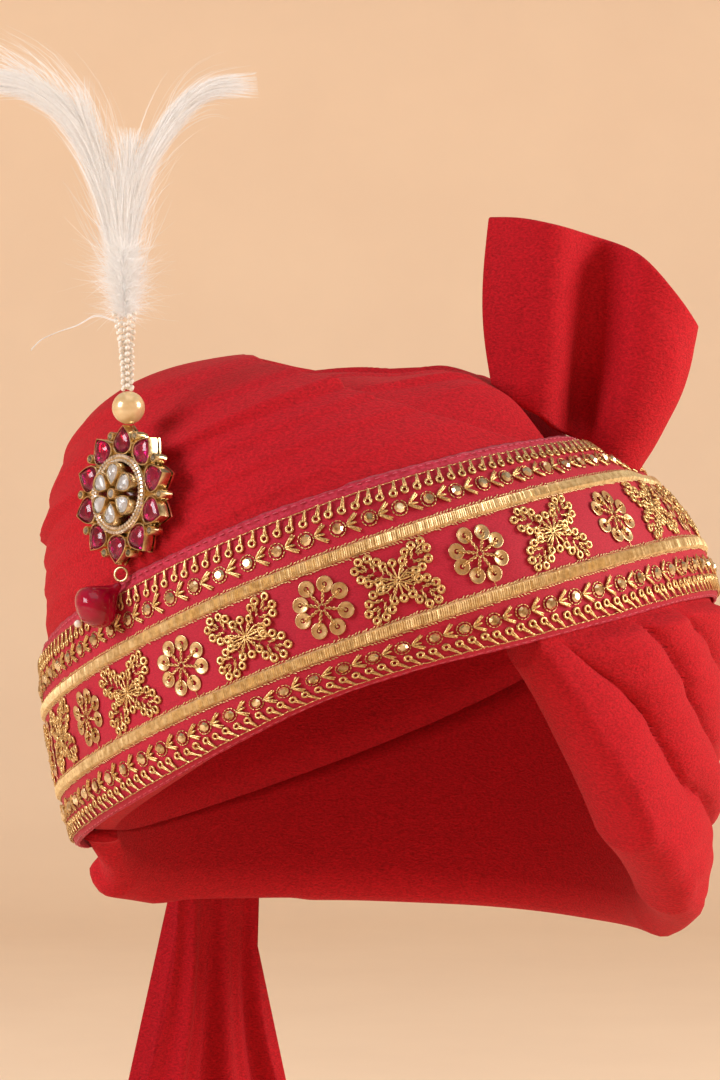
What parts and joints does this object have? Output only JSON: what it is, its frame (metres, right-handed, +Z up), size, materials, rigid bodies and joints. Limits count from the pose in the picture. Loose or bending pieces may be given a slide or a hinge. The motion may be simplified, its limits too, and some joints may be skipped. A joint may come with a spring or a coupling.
{
  "type": "tied turban pagri",
  "caption": "Wound red cloth turban with an embroidered gold border, a standing cloth fan, a hanging end and a jewelled brooch with a white plume.",
  "frame": {"origin": "inside top of the head hollow, where the crown of a wearer's head meets the cloth", "axes": "+Z up, the front faces -Y, +X is to the right as seen from the front"},
  "size_m": [0.2426, 0.2545, 0.4246],
  "materials": {
    "red_crepe": "matte crepe",
    "border_crepe": "matte crepe under embroidery",
    "gold_thread": "satin metallic braid",
    "antique_gold": "antique gold plate",
    "ruby_glass": "polished",
    "polki_stone": "polished, foil backed",
    "champagne_pearl": "pearl lustre",
    "cream_beads": "pearl lustre",
    "white_feather": "soft feather"
  },
  "bodies": {
    "root": {"crown_wrap": "red_crepe", "front_swathe": "red_crepe", "nape_wrap": "red_crepe", "border_band": "border_crepe", "gold_braid_upper": "gold_thread", "gold_braid_lower": "gold_thread", "turra": "red_crepe", "tail": "red_crepe", "brooch_frame": "antique_gold", "ruby_petal_1": "ruby_glass", "ruby_petal_2": "ruby_glass", "ruby_petal_3": "ruby_glass", "ruby_petal_4": "ruby_glass", "ruby_petal_5": "ruby_glass", "ruby_petal_6": "ruby_glass", "ruby_petal_7": "ruby_glass", "ruby_petal_8": "ruby_glass", "ruby_petal_9": "ruby_glass", "ruby_petal_10": "ruby_glass", "round_stone_1": "champagne_pearl", "round_stone_2": "champagne_pearl", "round_stone_3": "champagne_pearl", "round_stone_4": "champagne_pearl", "round_stone_5": "champagne_pearl", "round_stone_6": "champagne_pearl", "round_stone_7": "champagne_pearl", "round_stone_8": "champagne_pearl", "round_stone_9": "champagne_pearl", "round_stone_10": "champagne_pearl", "polki_petal_1": "polki_stone", "polki_petal_2": "polki_stone", "polki_petal_3": "polki_stone", "polki_petal_4": "polki_stone", "polki_petal_5": "polki_stone", "polki_petal_6": "polki_stone", "polki_centre": "polki_stone", "pearl": "champagne_pearl", "bead_strands": "cream_beads", "plume": "white_feather", "drop_ring": "antique_gold", "ruby_drop": "ruby_glass", "drop_end_bead": "cream_beads"}
  },
  "joints": []
}
